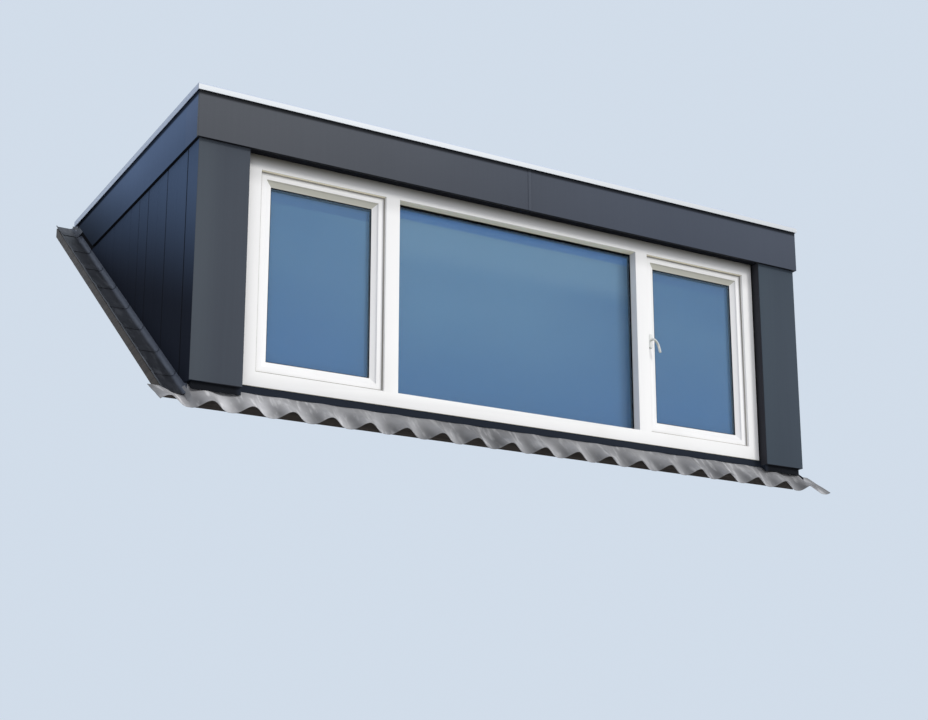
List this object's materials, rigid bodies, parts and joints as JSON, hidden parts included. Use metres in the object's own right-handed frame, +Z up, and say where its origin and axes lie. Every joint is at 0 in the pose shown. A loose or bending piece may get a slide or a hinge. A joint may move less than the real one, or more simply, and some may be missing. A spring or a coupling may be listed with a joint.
{
  "type": "dormer window",
  "caption": "Flat-roofed dormer window: white three-light window in dark boarded cheeks and fascia, with lead apron and side flashings, to stand on a pitched roof.",
  "frame": {"origin": "middle of the sloping underside of the front kerb, where the dormer sits on the boarded roof", "axes": "+X to the right along the front, +Y into the roof, +Z up; the roof rises towards +Y at 36 degrees"},
  "size_m": [4.3, 2.4181, 1.7778],
  "materials": {
    "timber": "planed softwood",
    "roof_board": "plywood",
    "anthracite_board": "satin anthracite facade board",
    "base_strip": "dark satin",
    "white_frame": "white, slightly glossy",
    "glass": "clear double glazing that mirrors the sky",
    "gasket": "black rubber",
    "handle_white": "white powder coat",
    "membrane": "dull roofing sheet",
    "lining": "painted plasterboard",
    "window_board": "painted white",
    "roof_trim": "satin, white coat at the front",
    "lead": "weathered grey lead sheet"
  },
  "bodies": {
    "root": {"base_strip": "base_strip", "ceiling_lining": "lining", "cheek_cladding_left": "anthracite_board", "cheek_cladding_right": "anthracite_board", "cheek_linings": "lining", "cheek_panel_left": "timber", "cheek_panel_right": "timber", "corner_board_left": "anthracite_board", "corner_board_right": "anthracite_board", "corner_piers": "timber", "fascia_front_left": "anthracite_board", "fascia_front_right": "anthracite_board", "fascia_side_left": "anthracite_board", "fascia_side_right": "anthracite_board", "flashing_boards": "timber", "frame_head": "white_frame", "frame_jamb_left": "white_frame", "frame_jamb_right": "white_frame", "frame_sill": "white_frame", "glass_centre": "glass", "glass_left": "glass", "glass_right": "glass", "glazing_beads": "white_frame", "glazing_gaskets": "gasket", "handle_lever": "handle_white", "handle_plate": "handle_white", "kerb_front": "timber", "kerb_left": "timber", "kerb_rear": "timber", "kerb_right": "timber", "lead_apron": "lead", "lead_flashing_left": "lead", "lead_flashing_right": "lead", "lintel_beam": "timber", "mullion_left": "white_frame", "mullion_right": "white_frame", "roof_deck": "roof_board", "roof_joists": "timber", "roof_membrane": "membrane", "roof_trim_front": "roof_trim", "roof_trim_left": "roof_trim", "roof_trim_right": "roof_trim", "sash_left": "white_frame", "sash_right": "white_frame", "soffit_board": "anthracite_board", "window_board": "window_board"}
  },
  "joints": []
}
